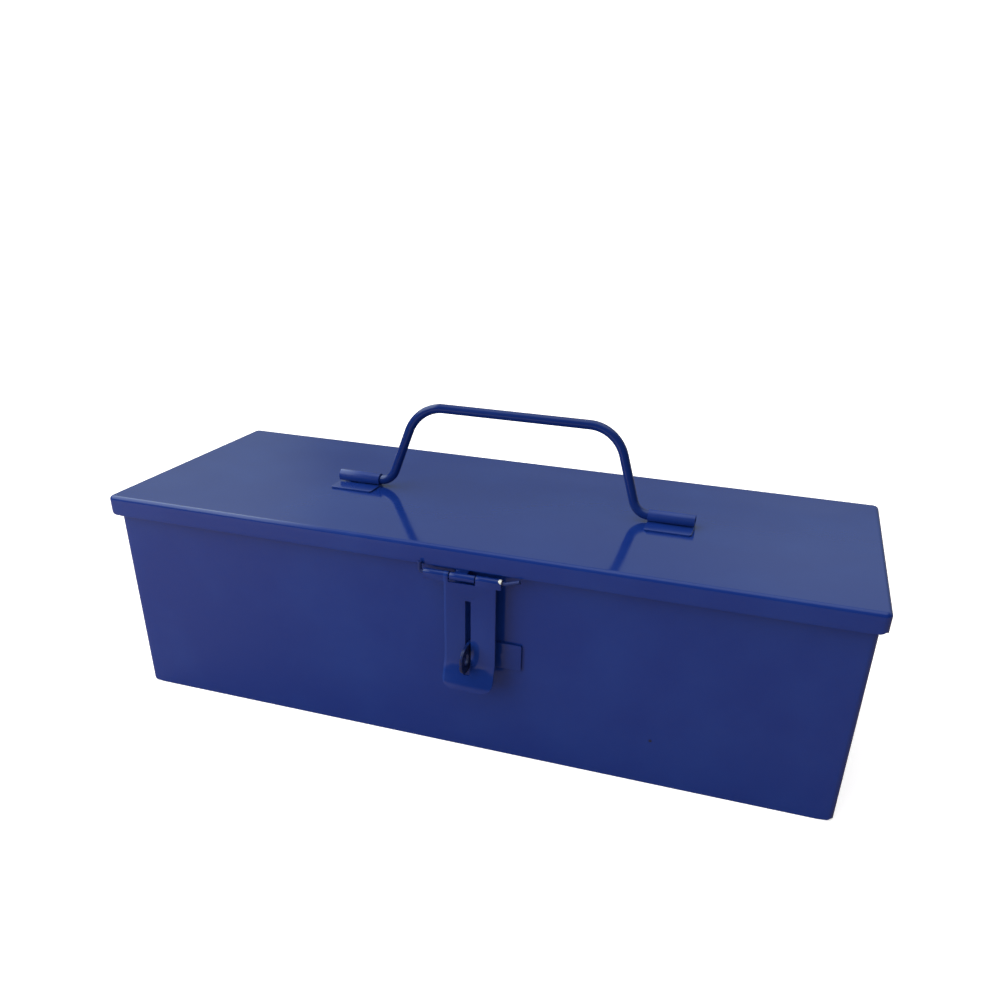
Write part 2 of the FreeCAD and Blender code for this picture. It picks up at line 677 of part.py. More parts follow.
def build_staple():
    """Angle bracket: a base on the front wall and a rounded lug with the padlock hole."""
    body = new_body("staple_bracket")
    plan = new_sketch(body, "staple_plan", "XY_Plane")
    draw_path(plan, [
        (s.staple_base, ZERO, None),
        (ZERO, ZERO, s.staple_bend),
        (ZERO, -s.staple_reach, None),
        (s.staple_sheet, -s.staple_reach, None),
        (s.staple_sheet, -s.staple_sheet, s.staple_inner),
        (s.staple_base, -s.staple_sheet, None),
    ], closed=True)
    angle = pad(body, plan, s.staple_height, symmetric=True)

    def lug_corner(edge):
        box = edge.BoundBox
        along = abs(box.XLength - s.staple_sheet.number) < NEAR
        return along and abs(box.YMax + s.staple_reach.number) < NEAR

    rounded = soften(body, "Fillet", angle, lug_corner, s.staple_round)

    def base_corner(edge):
        box = edge.BoundBox
        across = abs(box.YLength - s.staple_sheet.number) < NEAR
        return across and abs(box.XMin - s.staple_base.number) < NEAR

    soften(body, "Fillet", rounded, base_corner, s.staple_corner)
    hole = new_sketch(body, "staple_hole", "YZ_Plane")
    draw_circle(hole, s.staple_height / 2 - s.staple_reach, ZERO, s.padlock_radius)
    cut_through(body, hole)
    place(body, LUG_SHIFT, -WALL_FACE, s.staple_level)
    return body


def build_all():
    """Build every sub-part."""
    hasp_leaf = build_lid_leaf("hasp_lid_leaf", s.hasp_neck, s.neck_shift)
    place(hasp_leaf, s.hasp_shift, -BARREL_DISTANCE, BARREL_LEVEL)
    parts = [build_walls(), build_floor(), build_lid()]
    parts += [build_clip("handle_clip_left", -1), build_clip("handle_clip_right", 1)]
    parts += [build_handle(), hasp_leaf, build_strap(), build_hasp_pin(), build_staple()]
    parts += build_hinge("left", -1)
    parts += build_hinge("right", 1)
    document.recompute()
    return parts


def check(parts):
    """Stop if any object failed or any sub-part isn't one sound solid."""
    for item in document.Objects:
        if "Invalid" in item.State or "Error" in item.State:
            raise RuntimeError("%s failed: %s" % (item.Name, item.State))
    for part in parts:
        shape = part.Shape
        if shape.isNull() or not shape.isValid() or len(shape.Solids) != 1:
            raise RuntimeError("%s isn't one sound solid" % part.Label)


def export(parts):
    """Write each sub-part to its own file."""
    os.makedirs("parts", exist_ok=True)
    for part in parts:
        part.Shape.exportStep("parts/%s.step" % part.Label)
        box = part.Shape.BoundBox
        print("%-24s volume %9.1f  x %.1f..%.1f  y %.1f..%.1f  z %.1f..%.1f" % (
            part.Label, part.Shape.Volume, box.XMin, box.XMax, box.YMin, box.YMax, box.ZMin, box.ZMax))


finished = build_all()
check(finished)
export(finished)
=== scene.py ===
"""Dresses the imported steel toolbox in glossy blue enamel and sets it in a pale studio.

Lengths are in metres. X runs along the box, the front faces -Y and Z is up.
The walls, floor, lid and handle are drawn again as folded sheet and bent rod with soft edges,
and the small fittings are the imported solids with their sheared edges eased.
"""
import json
import math

import bmesh
import bpy
from bpy.props import FloatProperty, FloatVectorProperty, IntProperty, PointerProperty
from mathutils import Matrix, Vector, noise

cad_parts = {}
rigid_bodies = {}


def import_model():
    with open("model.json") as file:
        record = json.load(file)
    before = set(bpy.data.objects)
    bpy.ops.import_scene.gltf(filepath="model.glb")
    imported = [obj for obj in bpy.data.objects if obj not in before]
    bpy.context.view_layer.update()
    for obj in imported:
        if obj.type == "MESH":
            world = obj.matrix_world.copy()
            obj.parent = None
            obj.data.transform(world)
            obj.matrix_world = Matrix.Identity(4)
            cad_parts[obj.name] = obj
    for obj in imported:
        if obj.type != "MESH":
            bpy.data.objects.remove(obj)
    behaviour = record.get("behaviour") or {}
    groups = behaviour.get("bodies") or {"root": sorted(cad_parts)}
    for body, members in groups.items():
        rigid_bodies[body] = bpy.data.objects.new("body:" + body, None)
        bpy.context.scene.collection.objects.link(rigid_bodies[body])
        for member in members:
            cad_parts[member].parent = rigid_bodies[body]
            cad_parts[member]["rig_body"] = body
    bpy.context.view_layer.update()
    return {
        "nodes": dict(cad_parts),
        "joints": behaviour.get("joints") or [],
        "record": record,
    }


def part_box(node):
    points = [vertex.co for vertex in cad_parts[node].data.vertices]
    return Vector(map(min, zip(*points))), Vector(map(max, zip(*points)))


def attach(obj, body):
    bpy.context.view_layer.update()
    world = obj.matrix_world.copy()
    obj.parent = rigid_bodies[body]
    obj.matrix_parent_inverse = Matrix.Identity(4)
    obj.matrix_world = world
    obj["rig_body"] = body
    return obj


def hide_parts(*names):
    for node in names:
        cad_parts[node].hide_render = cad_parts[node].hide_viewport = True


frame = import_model()

bl_info = {
    "name": "Steel Toolbox",
    "version": (1, 0, 0),
    "blender": (4, 5, 0),
    "location": "View3D > Sidebar > Toolbox",
    "description": "Folded sheet, bent rod and enamel for a small steel toolbox",
    "category": "Object",
}

MM = 0.001


def centre_of(node):
    """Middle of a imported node's box."""
    low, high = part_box(node)
    return (low + high) / 2


def half_size_of(node):
    """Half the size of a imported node's box."""
    low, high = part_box(node)
    return (high - low) / 2


def named(rows, name):
    """Where the joint or mount with a name lies."""
    return Vector([row for row in rows if row["name"] == name][0]["pos_m"])


# Sizes and colours a user may change

def length(name, description, value):
    """A length in metres."""
    return FloatProperty(name=name, description=description, default=value, unit="LENGTH")


def number(name, description, value):
    """A plain number."""
    return FloatProperty(name=name, description=description, default=value)


def angle(name, description, degrees):
    """An angle."""
    return FloatProperty(
        name=name, description=description, default=math.radians(degrees), subtype="ANGLE")


def tint(name, description, colour):
    """A colour."""
    return FloatVectorProperty(name=name, description=description, default=colour, subtype="COLOR")


class SheetSettings(bpy.types.PropertyGroup):
    """Sheet metal of the walls, floor and lid."""

    thickness: length("Sheet", "Thickness of the sheet", 0.8 * MM)
    lid_bend: length("Lid bend", "Outer radius where the lid's top turns into its lip", 2.2 * MM)
    lid_corner: length("Lid corner", "Outer radius of the lid's corners in plan", 3.5 * MM)
    wall_corner: length("Wall corner", "Outer radius of the walls' upright corners", 3 * MM)
    floor_bend: length("Floor bend", "Outer radius of the floor pan's bend", 1.2 * MM)
    fold_depth: length("Rim fold", "Depth of the fold inside the walls' rim", 9 * MM)
    cut_edge: length("Cut edge", "Roundness that the enamel gives to a cut edge", 0.25 * MM)
    wave_depth: length("Wave depth", "How far the sheet dishes in between its bends", 0.3 * MM)
    wave_length: length("Wave length", "Distance over which the sheet dishes", 90 * MM)
    corner_lift: length("Corner lift", "How far a lower edge rises at the upright corners", 2 * MM)
    corner_core: length("Corner core", "Distance from a corner that is lifted in full", 1.25 * MM)
    corner_reach: length("Corner reach", "Length over which a lower edge rises to a corner", 5 * MM)
    cell: length("Mesh cell", "Spacing of the mesh on the flat sheet", 5 * MM)
    corner_cells: IntProperty(
        name="Corner cells", description="Half the number of faces round a corner", default=5)
    bend_cells: IntProperty(
        name="Bend cells", description="Faces across a bend", default=8)
    seam_groove: length("Seam groove", "Depth of the groove in the rear wall at the seam", 0.25 * MM)
    lap_width: length("Seam lap", "Width of the lapped seam inside the rear wall", 12 * MM)


class FittingSettings(bpy.types.PropertyGroup):
    """Handle, clips, hasp, staple and hinges."""

    edge_round: length("Eased edge", "Roundness of the fittings' sheared edges", 0.14 * MM)
    edge_segments: IntProperty(
        name="Edge segments", description="Faces across an eased edge", default=3)
    rod_radius: length("Rod", "Radius of the handle rod", 2.5 * MM)
    heel_half_span: length("Heels", "Half the distance between the rod's lower corners", 70.1 * MM)
    grip_half_span: length("Grip", "Half the distance between the rod's upper corners", 55.7 * MM)
    heel_bend: length("Heel bend", "Bend radius of the rod above the clips", 9.5 * MM)
    grip_bend: length("Grip bend", "Bend radius of the rod at the grip's ends", 20.6 * MM)
    shank_width: length("Strap", "Width of the hasp strap below its head", 27 * MM)
    shank_inset: length("Strap inset", "From the head's right end to the strap's right edge", 2.4 * MM)
    # Width of the painted highlight along the strap's left edge.
    highlight_strip_width: length("Thin rim", "Width of the thin enamel at the strap's left edge", 1 * MM)
    weld_radius: length("Spot weld", "Radius of a spot weld's mark", 2.4 * MM)
    weld_height: length("Weld ring", "Height of the ring round a spot weld", 0.11 * MM)


class EnamelSettings(bpy.types.PropertyGroup):
    """Glossy blue enamel, what shows where it is chipped, and the painted shade and highlights on it."""

    colour: tint("Enamel", "Colour of the enamel", (0.0058, 0.024, 0.165))
    # Also the colour of the painted highlight along the strap's left edge.
    thin_and_highlight_colour: tint("Thin enamel", "Colour where the enamel is thinner", (0.0085, 0.033, 0.190))
    # Pale bare steel at a chip, painted bright as a glint.
    steel: tint("Bare steel", "Colour of chipped places", (0.85, 0.83, 0.72))
    # Dark colour of a real pit in the paint, and of the painted shade over the staple's lug.
    worn: tint("Worn", "Colour of dark, worn places", (0.006, 0.011, 0.050))
    worn_roughness: number("Worn roughness", "Added roughness of chipped and worn places", 0.25)
    ragged: number("Ragged", "How ragged the outline of a chip is", 0.4)
    # Width over which the painted highlight at the strap's edge fades.
    highlight_blur: length("Rim blur", "Width over which thin enamel turns into thick", 0.4 * MM)
    # Brightness of the painted highlight along the strap's left edge.
    bare_metal: number("Bare metal", "How metallic a chipped place is", 0.4)
    # Painted shade: the handle's enamel is darkened for the lesser light the handle gets.
    rod_painted_shade: number("Rod shade", "How dark the thick enamel of the handle is", 0.74)
    edge_highlight: number("Thin rims", "Brightness of the thin enamel at the strap's edge", 1.0)
    roughness: number("Roughness", "Roughness of clean enamel", 0.10)
    smudge: number("Smudges", "Added roughness where it was handled", 0.05)
    peel_size: length("Orange peel", "Size of the ripples in the enamel", 2.2 * MM)
    peel_depth: length("Ripple depth", "Depth of the ripples in the enamel", 0.006 * MM)


class StageSettings(bpy.types.PropertyGroup):
    """Camera, floor and lights."""

    eye: FloatVectorProperty(
        name="Eye", description="Place of the camera", default=(0.1436, -0.4349, 0.2801),
        subtype="TRANSLATION")
    heading: angle("Heading", "Camera's turn to the left of +Y", 16.65)
    dip: angle("Dip", "Camera's tilt below level", 28.21)
    roll: angle("Roll", "Camera's lean", 1.82)
    focal: number("Focal length", "Focal length in millimetres on a 36 mm frame", 31.38)
    shift_across: number("Shift across", "Framing shift to the right", -0.021)
    shift_up: number("Shift up", "Framing shift upwards", 0.133)
    floor_radius: length("Floor", "Radius of the level floor", 1.5)
    paper: tint("Paper", "Colour that the camera sees of floor and backdrop", (0.88, 0.86, 0.855))
    ground: tint("Ground", "Darker ground that the enamel mirrors", (0.27, 0.215, 0.17))
    left_ground: tint("Left ground", "Mirrored ground in front of the left end", (0.40, 0.33, 0.27))
    left_reach: FloatVectorProperty(
        name="Left reach", description="Where the left ground begins and is complete, along X", size=2,
        default=(-0.05, -0.32))
    bounce: tint("Bounce", "Colour of the ground in the light that it throws back", (0.40, 0.40, 0.40))
    overhead_strength: number("Overhead", "Strength of the very soft light from above", 1.4)
    overhead_angle: angle("Overhead spread", "Width of the light from above", 70)
    side_power: number("Side", "Power of the soft light in front of the left end", 2.3)
    sky_light: number("Sky light", "Brightness of the sky that lights the enamel", 0.80)
    sky_bias: number("Sky bias", "How much brighter the sky is at the left", 0.85)
    floor_glow: number("Floor glow", "Light that the floor adds to what the camera sees", 0.6)
    backdrop_glow: number("Backdrop glow", "Light that the backdrop adds to what the camera sees", 0.7)
    backdrop_sweep: length("Backdrop sweep", "Radius of the bend from floor to backdrop", 0.6)
    backdrop_height: length("Backdrop height", "Height of the backdrop", 2.0)
    low_sky: number("Low sky", "Brightness that the lid mirrors furthest back", 0.20)
    mid_sky: number("Mid sky", "Brightness that the lid mirrors at its front", 0.46)
    window: number("Window", "Brightness of the window at the upper left", 2.2)
    zenith: number("Zenith", "Brightness overhead that bends and rods mirror", 1.0)
    mirrored_tint: tint("Mirrored tint", "Colour of the sky that the enamel mirrors", (0.86, 1.0, 1.02))
    patch: number("Patch", "Brighter patch that the lid mirrors near its left end", 0.14)


# Materials

def new_tree(kind, name, inputs, outputs):
    """A node group with named sockets, and the values that it is given."""
    tree = bpy.data.node_groups.new(name, kind)
    for way, sockets in (("INPUT", inputs), ("OUTPUT", outputs)):
        for label, socket in sockets.items():
            tree.interface.new_socket(label, in_out=way, socket_type="NodeSocket" + socket)
    return tree, tree.nodes.new("NodeGroupInput").outputs


def set_inputs(tree, node, inputs):
    """Link a node's inputs to sockets, or set them to values."""
    for name, value in inputs.items():
        if isinstance(value, bpy.types.NodeSocket):
            tree.links.new(value, node.inputs[name])
        else:
            node.inputs[name].default_value = value


def add_node(tree, kind, inputs, **settings):
    """A new node with its inputs and settings."""
    node = tree.nodes.new(kind)
    for name, value in settings.items():
        setattr(node, name, value)
    set_inputs(tree, node, inputs)
    return node


def math_node(tree, operation, first, second=None, clamp=False):
    """A Math node's result, from numbers or sockets."""
    inputs = {0: first} if second is None else {0: first, 1: second}
    return add_node(tree, "ShaderNodeMath", inputs, operation=operation, use_clamp=clamp).outputs[0]


def noise_node(tree, vector, scale, detail):
    """A Noise Texture's value."""
    inputs = {"Vector": vector, "Scale": scale, "Detail": detail}
    return add_node(tree, "ShaderNodeTexNoise", inputs).outputs["Fac"]


def stretched(tree, value, start, gain):
    """How far a value is above a start, times a gain, held between 0 and 1."""
    above = math_node(tree, "SUBTRACT", value, start)
    return math_node(tree, "MULTIPLY", above, gain, clamp=True)


def map_range(tree, value, over, to):
    """A value whose change over one stretch of numbers is eased to another stretch."""
    inputs = {"Value": value, "From Min": over[0], "From Max": over[1],
              "To Min": to[0], "To Max": to[1]}
    return add_node(tree, "ShaderNodeMapRange", inputs, interpolation_type="SMOOTHSTEP").outputs[0]


def mix_colours(tree, mask, first, second):
    """A mix of two colours or sockets."""
    inputs = {"Factor": mask, "A": first, "B": second}
    return add_node(tree, "ShaderNodeMix", inputs, data_type="RGBA").outputs["Result"]


def place_in(tree, kind="Object"):
    """A place in texture coordinates."""
    return tree.nodes.new("ShaderNodeTexCoord").outputs[kind]


def parts_of(tree, vector):
    """X, Y and Z of a vector."""
    return add_node(tree, "ShaderNodeSeparateXYZ", {0: vector}).outputs


def enamel_film():
    """Group: enamel that flows thinner and thicker, with faint smudges and orange peel."""
    group, given = new_tree("ShaderNodeTree", "Enamel film", {
        "Colour": "Color", "Thin Colour": "Color", "Roughness": "Float", "Smudge": "Float",
        "Peel Size": "Float", "Peel Depth": "Float",
    }, {"Colour": "Color", "Roughness": "Float", "Normal": "Vector"})
    place = place_in(group)
    flow = noise_node(group, place, scale=22.0, detail=3.0)
    thin = stretched(group, flow, start=0.42, gain=2.2)
    handled = stretched(group, noise_node(group, place, scale=45.0, detail=4.0), start=0.5, gain=3.0)
    handled = math_node(group, "MULTIPLY", handled, given["Smudge"])
    ripple_scale = math_node(group, "DIVIDE", 1.0, given["Peel Size"])
    ripples = noise_node(group, place, scale=ripple_scale, detail=1.5)
    bump = add_node(group, "ShaderNodeBump", {
        "Strength": 1.0, "Distance": given["Peel Depth"], "Height": ripples})
    add_node(group, "NodeGroupOutput", {
        "Colour": mix_colours(group, thin, given["Colour"], given["Thin Colour"]),
        "Roughness": math_node(group, "ADD", given["Roughness"], handled),
        "Normal": bump.outputs["Normal"],
    })
    return group


def chip_mask():
    """Group: a ragged round spot about a place on the object, 1 inside and 0 outside."""
    group, given = new_tree("ShaderNodeTree", "Chip", {
        "Place": "Vector", "Radius": "Float", "Ragged": "Float"}, {"Mask": "Float"})
    place = place_in(group)
    apart = add_node(group, "ShaderNodeVectorMath", {0: place, 1: given["Place"]}, operation="DISTANCE")
    reach = math_node(group, "DIVIDE", apart.outputs["Value"], given["Radius"])
    grain = math_node(group, "SUBTRACT", noise_node(group, place, scale=900.0, detail=3.0), 0.5)
    ragged = math_node(group, "MULTIPLY", grain, given["Ragged"])
    edge = math_node(group, "SUBTRACT", 1.0, math_node(group, "ADD", reach, ragged))
    add_node(group, "NodeGroupOutput", {"Mask": math_node(group, "MULTIPLY", edge, 8.0, clamp=True)})
    return group


def new_material(name):
    """A material with its Principled shader and nothing else."""
    material = bpy.data.materials.new(name)
    material.use_nodes = True
    shader = material.node_tree.nodes["Principled BSDF"]
    return material, material.node_tree, shader


def enamel_material(name, chips=(), specks=(), rough=0.0, shade=1.0, rim=None):
    """Enamel, chipped at stated places (place, radius) to bare steel painted pale as a glint, and
    darkened at stated specks: a real pit in the paint, and painted shade on the staple's lug.

    A rim is a narrow upright band, as (middle, half width) along X, painted brighter in the thin enamel's
    colour as a highlight.
    """
    enamel = bpy.context.scene.toolbox_enamel
    material, tree, shader = new_material(name)
    # A shade below 1 darkens the enamel's colours as painted shade.
    film = add_node(tree, "ShaderNodeGroup", {
        "Colour": (*(part * shade for part in enamel.colour), 1),
        "Thin Colour": (*(part * shade for part in enamel.thin_and_highlight_colour), 1),
        "Roughness": enamel.roughness + rough,
        "Smudge": enamel.smudge,
        "Peel Size": enamel.peel_size,
        "Peel Depth": enamel.peel_depth,
    }, node_tree=bpy.data.node_groups.get("Enamel film") or enamel_film()).outputs
    colour = film["Colour"]
    roughness = film["Roughness"]
    # Painted highlight: a brighter upright band along the strap's left edge.
    if rim is not None:
        middle, half = rim
        away = math_node(tree, "SUBTRACT", parts_of(tree, place_in(tree))["X"], middle)
        away = math_node(tree, "ABSOLUTE", away)
        thin = map_range(tree, away, over=(half, half + enamel.highlight_blur), to=(1.0, 0.0))
        highlight_colour = (*(part * enamel.edge_highlight for part in enamel.thin_and_highlight_colour), 1)
        colour = mix_colours(tree, thin, colour, highlight_colour)
    # Chips show bare steel, painted pale as a glint.
    marks = [(place, radius, enamel.steel) for place, radius in chips]
    # Specks are darkened: a real pit on the front wall, and painted shade over the staple's lug.
    marks += [(place, radius, enamel.worn) for place, radius in specks]
    for place, radius, shown in marks:
        mark = add_node(tree, "ShaderNodeGroup", {
            "Place": place, "Radius": radius, "Ragged": enamel.ragged,
        }, node_tree=bpy.data.node_groups.get("Chip") or chip_mask()).outputs["Mask"]
        colour = mix_colours(tree, mark, colour, (*shown, 1))
        rougher = math_node(tree, "MULTIPLY", mark, enamel.worn_roughness)
        roughness = math_node(tree, "ADD", roughness, rougher)
        if shown == enamel.steel:
            metallic = math_node(tree, "MULTIPLY", mark, enamel.bare_metal)
            set_inputs(tree, shader, {"Metallic": metallic})
    set_inputs(tree, shader, {"Base Color": colour, "Roughness": roughness, "Normal": film["Normal"]})
    return material


def studio_material(name, glow):
    """Pale paper to the camera, a darker ground in mirrored and thrown back light."""
    stage = bpy.context.scene.toolbox_stage
    material, tree, shader = new_material(name)
    path = tree.nodes.new("ShaderNodeLightPath")
    seen = path.outputs["Is Camera Ray"]
    leftward = parts_of(tree, place_in(tree))["X"]
    leftward = map_range(tree, leftward, over=stage.left_reach, to=(0.0, 1.0))
    mirrored = mix_colours(tree, leftward, (*stage.ground, 1), (*stage.left_ground, 1))
    unseen = mix_colours(tree, path.outputs["Is Diffuse Ray"], mirrored, (*stage.bounce, 1))
    shown = mix_colours(tree, seen, unseen, (*stage.paper, 1))
    set_inputs(tree, shader, {
        "Base Color": shown,
        "Roughness": 0.9,
        "Specular IOR Level": 0.0,
        "Emission Color": (1, 1, 1, 1),
        "Emission Strength": math_node(tree, "MULTIPLY", seen, glow),
    })
    return material


# Meshes

def new_piece(name, mesh, material):
    """An object at the origin with one material."""
    piece = bpy.data.objects.new(name, mesh)
    bpy.context.scene.collection.objects.link(piece)
    mesh.materials.clear()
    mesh.materials.append(material)
    return piece


def mesh_from(work, name):
    """A mesh from a BMesh, which is freed."""
    mesh = bpy.data.meshes.new(name)
    work.to_mesh(mesh)
    work.free()
    return mesh


def turned_form(profile, count):
    """A BMesh turned about the upright axis from (radius, height), and its rings of points."""
    form = bmesh.new()
    turns = [2 * math.pi * i / count for i in range(count)]
    rings = []
    for reach, height in profile:
        ring = [(reach * math.cos(turn), reach * math.sin(turn), height) for turn in turns]
        rings.append([form.verts.new(spot) for spot in ring])
    for first, second in zip(rings, rings[1:]):
        for i in range(count):
            j = (i + 1) % count
            form.faces.new((first[i], second[i], second[j], first[j]))
    return form, rings


def smooth(mesh, sharp_above=35.0):
    """Shade smooth, with hard edges where faces meet at more than an angle in degrees."""
    mesh.shade_smooth()
    mesh.set_sharp_from_angle(angle=math.radians(sharp_above))


def finished_mesh(piece, name):
    """A piece's mesh with its modifiers made real."""
    graph = bpy.context.evaluated_depsgraph_get()
    mesh = bpy.data.meshes.new_from_object(piece.evaluated_get(graph), depsgraph=graph)
    mesh.name = name
    return mesh


class SheetShell:
    """A sheet form made of loops round a rectangle with rounded corners."""

    def __init__(self, half_x, half_y, radius, extra_x=()):
        sheet = bpy.context.scene.toolbox_sheet
        self.half = (half_x, half_y)
        self.radius = radius
        self.columns = self.stations(half_x, sheet, extra_x)
        self.rows = self.stations(half_y, sheet)
        self.mesh = bmesh.new()
        last_column = len(self.columns) - 1
        last_row = len(self.rows) - 1
        self.rim = [(i, 0) for i in range(last_column)]
        self.rim += [(last_column, j) for j in range(last_row)]
        self.rim += [(i, last_row) for i in range(last_column, 0, -1)]
        self.rim += [(0, j) for j in range(last_row, 0, -1)]

    def stations(self, half, sheet, extra=()):
        """Grid lines along one side, closer together at the corners."""
        inner = half - self.radius
        count = max(2, round(2 * inner / sheet.cell))
        middle = [-inner + 2 * inner * i / count for i in range(count + 1)]
        cells = sheet.corner_cells
        ends = [inner + self.radius * i / cells for i in range(1, cells + 1)]
        return sorted([-end for end in ends] + middle + ends + list(extra))

    def place(self, column, row):
        """Where a grid point lies, and which way is out at that point."""
        x, y = self.columns[column], self.rows[row]
        over = [max(0.0, abs(value) - half + self.radius) / self.radius
                for value, half in zip((x, y), self.half)]
        bent = (over[0] * math.sqrt(1 - over[1] ** 2 / 2), over[1] * math.sqrt(1 - over[0] ** 2 / 2))
        point = [math.copysign(min(abs(value), half - self.radius) + self.radius * part, value)
                 for value, half, part in zip((x, y), self.half, bent)]
        out = Vector((math.copysign(bent[0], x), math.copysign(bent[1], y)))
        return Vector(point), out.normalized() if out.length > 0 else out

    def loop(self, offset, height):
        """A loop of points outside the base outline by an offset."""
        points = []
        for column, row in self.rim:
            point, out = self.place(column, row)
            spot = point + out * offset
            points.append(self.mesh.verts.new((spot.x, spot.y, height)))
        return points

    def bridge(self, first, second):
        """Join two loops with faces."""
        count = len(first)
        for i in range(count):
            j = (i + 1) % count
            self.mesh.faces.new((first[i], first[j], second[j], second[i]))

    def plate(self, loop, height):
        """Fill a loop with a grid."""
        points = dict(zip(self.rim, loop))
        for i in range(len(self.columns)):
            for j in range(len(self.rows)):
                if (i, j) not in points:
                    point, _ = self.place(i, j)
                    points[i, j] = self.mesh.verts.new((point.x, point.y, height))
        for i in range(len(self.columns) - 1):
            for j in range(len(self.rows) - 1):
                corners = ((i, j), (i + 1, j), (i + 1, j + 1), (i, j + 1))
                self.mesh.faces.new([points[corner] for corner in corners])

    def finish(self, name, move):
        """Move the points, turn the faces outwards and return a smooth mesh."""
        for point in self.mesh.verts:
            point.co = move(point.co.copy())
        bmesh.ops.recalc_face_normals(self.mesh, faces=self.mesh.faces)
        mesh = mesh_from(self.mesh, name)
        smooth(mesh)
        return mesh


def steps(start, end, size):
    """Numbers from one value to another in equal steps no longer than a size."""
    count = max(1, math.ceil(abs(end - start) / size))
    return [start + (end - start) * i / count for i in range(1, count + 1)]


def share(value):
    """A value held between 0 and 1."""
    return min(1.0, max(0.0, value))


SEEDS = {"lid": 3.1, "floor": 8.7, "front": 5.3, "rear": 6.9}


def dish(x, y, part):
    """How deep a part's sheet dishes at a place, from 0 to 1."""
    sheet = bpy.context.scene.toolbox_sheet
    spot = Vector((x / sheet.wave_length, y / sheet.wave_length, SEEDS[part]))
    return share(0.5 + 0.9 * noise.noise(spot))


def ease(value, width):
    """0 at zero, rising smoothly to 1 at a width."""
    part = share(value / width)
    return part * part * (3 - 2 * part)


def corner_rise(point, half, low, height):
    """How far a point near a lower corner is lifted, so that the corner's lower edge is rounded."""
    sheet = bpy.context.scene.toolbox_sheet
    apart = math.hypot(half.x - abs(point.x), half.y - abs(point.y)) - sheet.corner_core
    near = share(1 - apart / sheet.corner_reach)
    lower = share(1 - (point.z - low) / height)
    return sheet.corner_lift * (1 - math.sqrt(1 - near * near)) * lower


def pan_mesh(name, node, corner, bend, turned_up, move):
    """A shallow pan: a plate with a bent lip all round, its lip down or turned up."""
    sheet = bpy.context.scene.toolbox_sheet
    low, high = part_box(node)
    half = (high - low) / 2
    shell = SheetShell(half.x - bend, half.y - bend, corner - bend)
    face, edge, way = (low.z, high.z, 1) if turned_up else (high.z, low.z, -1)
    thick = sheet.thickness
    inside = bend - thick
    small = sheet.cut_edge
    turn = [math.pi / 2 * i / sheet.bend_cells for i in range(sheet.bend_cells + 1)]
    outer = [(bend * math.sin(a), face + way * bend * (1 - math.cos(a))) for a in turn]
    inner = [(inside * math.sin(a), face + way * (bend - inside * math.cos(a))) for a in turn]
    wall = steps(outer[-1][1], edge - way * small, sheet.cell / 2)
    quarter = [math.pi / 2 * i / 3 for i in range(1, 4)]
    rounds = [(small * (1 - math.cos(a)), small * (1 - math.sin(a))) for a in quarter]
    profile = outer + [(bend, z) for z in wall]
    profile += [(bend - near, edge - way * far) for near, far in rounds]
    profile += [(inside + far, edge - way * near) for near, far in rounds]
    profile += [(inside, z) for z in reversed(wall[:-1])] + list(reversed(inner))
    loops = [shell.loop(offset, z) for offset, z in profile]
    for first, second in zip(loops, loops[1:]):
        shell.bridge(first, second)
    shell.plate(loops[0], face)
    shell.plate(loops[-1], face + way * thick)
    return shell.finish(name, move)


def away_from(spots, x, y, clear, width):
    """0 within a clear distance of any of some spots, rising to 1 beyond them."""
    part = 1.0
    for spot in spots:
        part *= ease(math.hypot(x - spot[0], y - spot[1]) - clear, width)
    return part


def lid_move():
    """How the lid's top dishes a little between its bends, but not under the handle's clips."""
    sheet = bpy.context.scene.toolbox_sheet
    half = half_size_of("lid_pan")
    low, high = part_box("lid_pan")
    clips = [centre_of(clip).xy for clip in ("handle_clip_left", "handle_clip_right")]

    def move(point):
        inward = min(half.x - abs(point.x), half.y - abs(point.y)) - sheet.lid_bend
        if inward > 0:
            depth = ease(inward, width=30 * MM)
            depth *= away_from(clips, point.x, point.y, clear=14 * MM, width=40 * MM)
            point.z -= sheet.wave_depth * depth * dish(point.x, point.y, "lid")
        point.z += corner_rise(point, half, low.z, high.z - low.z - 2 * sheet.lid_bend)
        return point
    return move


def floor_move():
    """How the floor's middle lifts a little."""
    sheet = bpy.context.scene.toolbox_sheet
    half = half_size_of("body_floor")
    low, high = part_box("body_floor")
    outside = half_size_of("body_wall")

    def move(point):
        inward = min(half.x - abs(point.x), half.y - abs(point.y)) - sheet.floor_bend
        if inward > 0:
            depth = ease(inward, width=40 * MM)
            point.z += sheet.wave_depth * depth * dish(point.x, point.y, "floor")
        point.z += corner_rise(point, outside, low.z, high.z - low.z)
        return point
    return move


